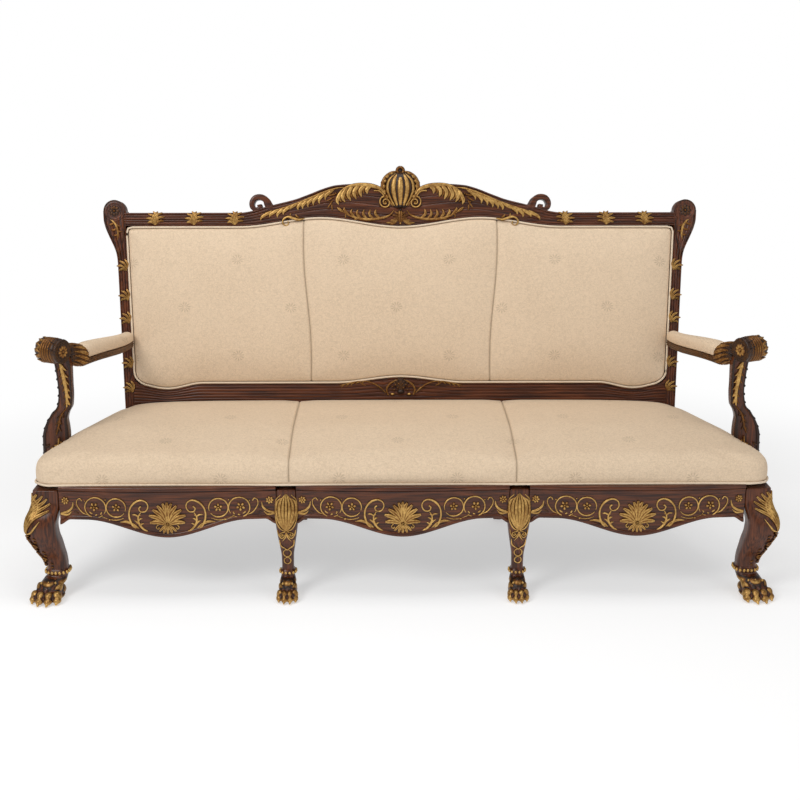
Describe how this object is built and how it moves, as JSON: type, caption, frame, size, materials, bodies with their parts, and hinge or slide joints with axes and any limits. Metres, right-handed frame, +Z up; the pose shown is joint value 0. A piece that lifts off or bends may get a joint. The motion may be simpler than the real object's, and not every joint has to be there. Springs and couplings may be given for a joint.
{
  "type": "sofa",
  "caption": "Open-arm show-wood sofa with carved gilded frame, arched crest, cabriole legs on paw feet, and tight damask seat and back.",
  "frame": {"origin": "middle of the footprint at floor level", "axes": "+X along the sofa, the front faces -Y, +Z up"},
  "size_m": [2.1374, 0.7788, 1.1589],
  "materials": {
    "show_wood": "polished dark mahogany",
    "frame_wood": "raw beech",
    "gilding": "antique gold leaf on carved wood",
    "damask": "tone-on-tone damask",
    "piping": "self-covered cord",
    "stuffing": "foam and wadding",
    "webbing": "jute",
    "lining": "black lining cloth",
    "steel": "zinc plated",
    "glide": "dark plastic"
  },
  "bodies": {
    "root": {"apron_left": "show_wood", "apron_centre": "show_wood", "apron_right": "show_wood", "side_rail_left": "show_wood", "side_rail_right": "show_wood", "front_leg_outer_left": "show_wood", "front_leg_outer_right": "show_wood", "front_leg_inner_left": "show_wood", "front_leg_inner_right": "show_wood", "rear_post_left": "show_wood", "rear_post_right": "show_wood", "rear_leg_inner_left": "show_wood", "rear_leg_inner_right": "show_wood", "crest_rail": "show_wood", "back_lower_rail": "show_wood", "arm_left": "show_wood", "arm_right": "show_wood", "arm_support_left": "show_wood", "arm_support_right": "show_wood", "rear_seat_rail": "frame_wood", "seat_brace_left": "frame_wood", "seat_brace_right": "frame_wood", "back_upright_left": "frame_wood", "back_upright_right": "frame_wood", "corner_blocks": "frame_wood", "crest_shell": "gilding", "crest_scroll_left": "gilding", "crest_scroll_right": "gilding", "lower_rail_cartouche": "gilding", "ear_rosettes": "gilding", "arm_rosettes": "gilding", "apron_shells": "gilding", "knee_shells": "gilding", "leg_buds": "gilding", "seat_cover": "damask", "back_cover": "damask", "arm_pad_left": "damask", "arm_pad_right": "damask", "outside_back_cover": "damask", "seat_piping": "piping", "back_piping": "piping", "outside_back_gimp": "piping", "seat_stuffing": "stuffing", "back_stuffing": "stuffing", "seat_webbing": "webbing", "back_webbing": "webbing", "dust_cover": "lining", "corner_block_screws": "steel", "arm_screws": "steel", "dust_cover_tacks": "steel", "floor_glides": "glide"}
  },
  "joints": []
}
